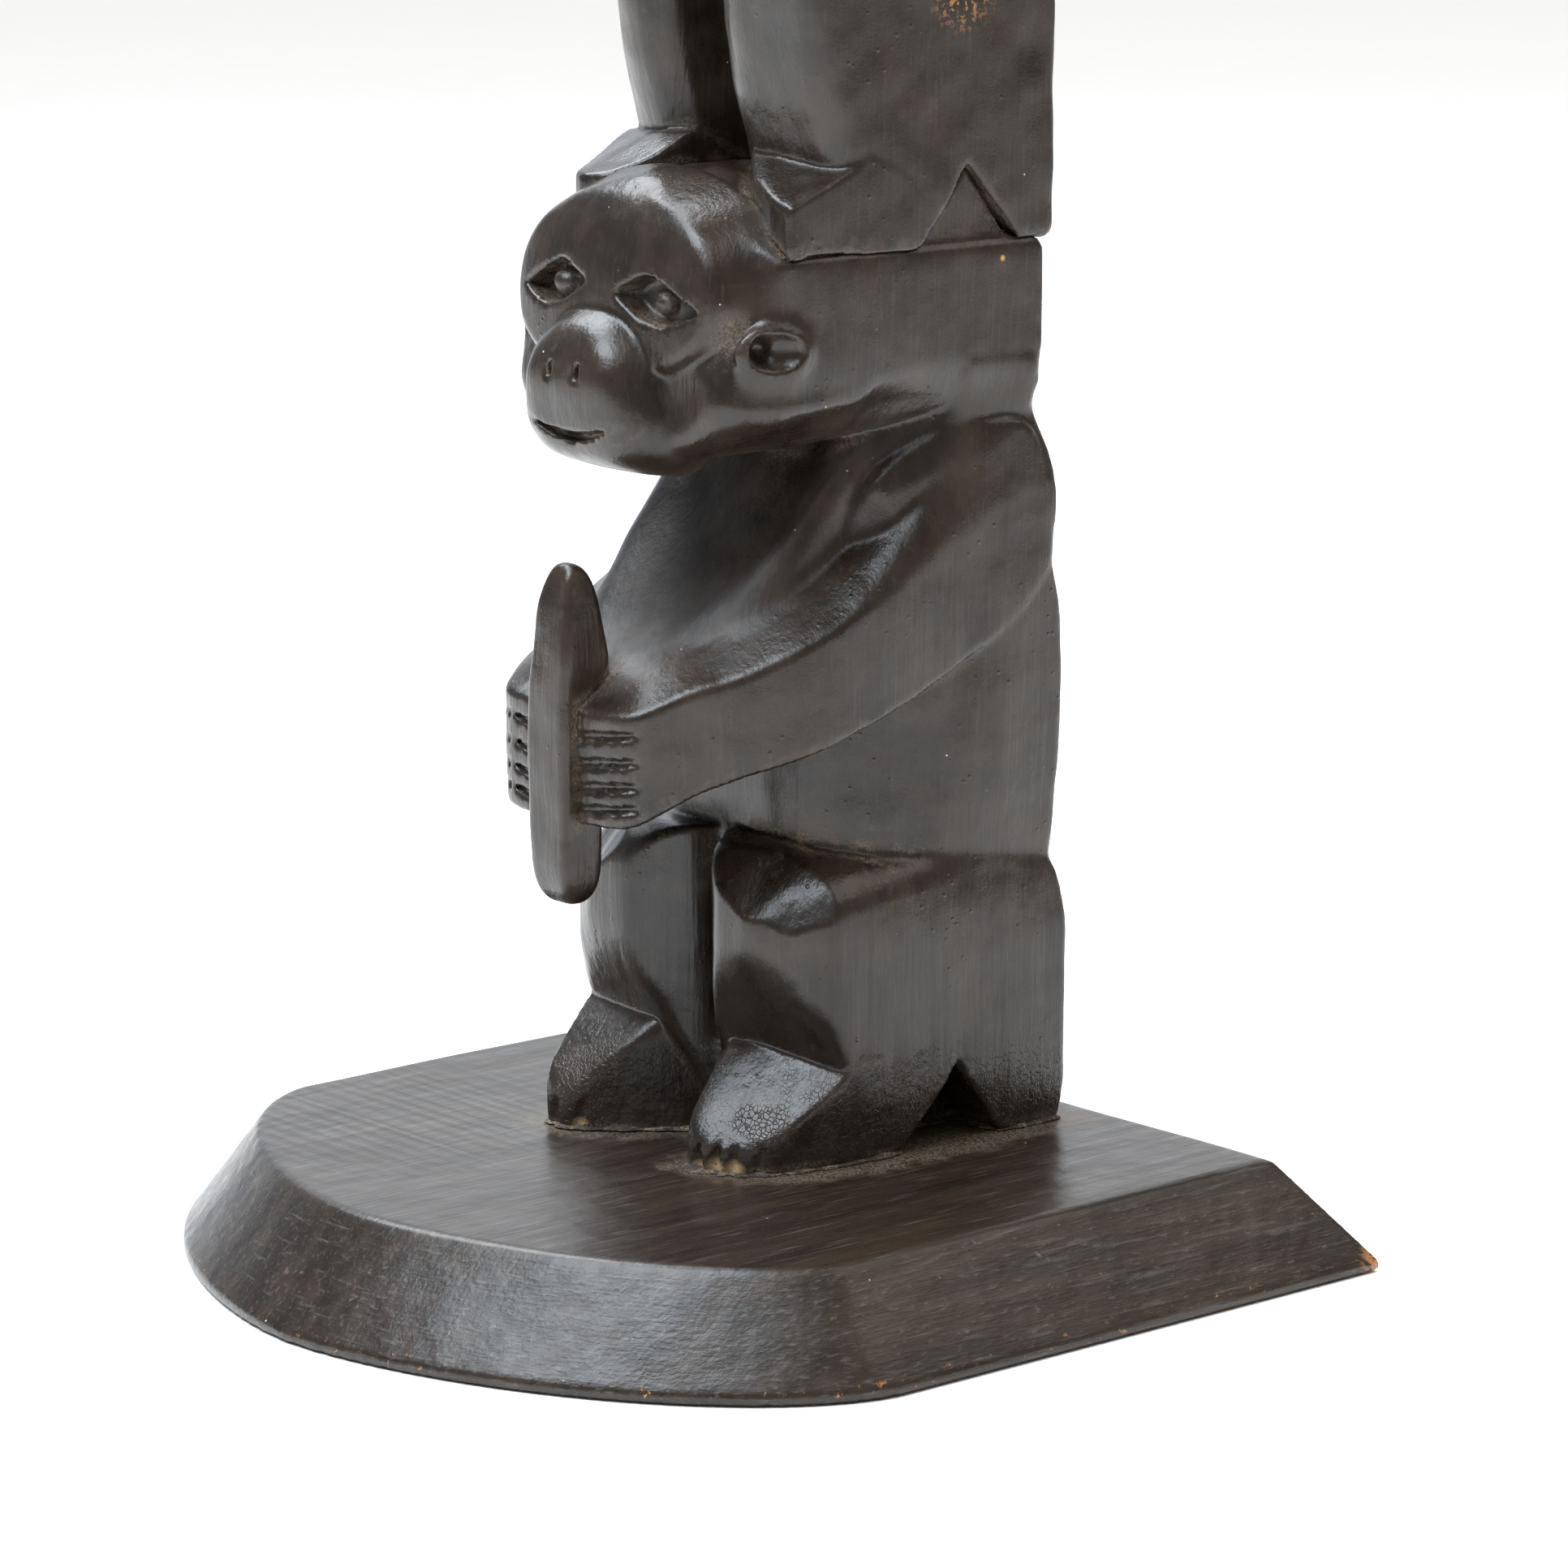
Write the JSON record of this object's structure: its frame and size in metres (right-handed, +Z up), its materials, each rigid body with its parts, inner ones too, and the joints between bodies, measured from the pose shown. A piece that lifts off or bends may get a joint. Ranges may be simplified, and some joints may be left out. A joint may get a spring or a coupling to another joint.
{
  "type": "carved ancestor figure",
  "caption": "Dark carved wooden ornament: crouching ancestor figures stacked on a bevelled board, the lower one holding an upright blade.",
  "frame": {"origin": "centre of the board's underside, which is the bottom centre of the whole object's box", "axes": "+Z up along the carving, -Y the way both figures face, +X the figures' left"},
  "size_m": [0.1766, 0.1692, 0.3484],
  "materials": {
    "board_wood": "black stain, open grain, semi-gloss",
    "carved_wood": "black stain, knife-cut facets, semi-gloss",
    "blade_wood": "black stain, semi-gloss",
    "glue_line": "dusty dried glue",
    "screw_steel": "zinc-plated",
    "dowel_wood": "bare"
  },
  "bodies": {
    "root": {"base_board": "board_wood", "lower_figure": "carved_wood", "upper_figure": "carved_wood", "blade": "blade_wood", "glue_bead": "glue_line", "base_screws": "screw_steel", "figure_dowels": "dowel_wood", "blade_pegs": "dowel_wood"}
  },
  "joints": []
}
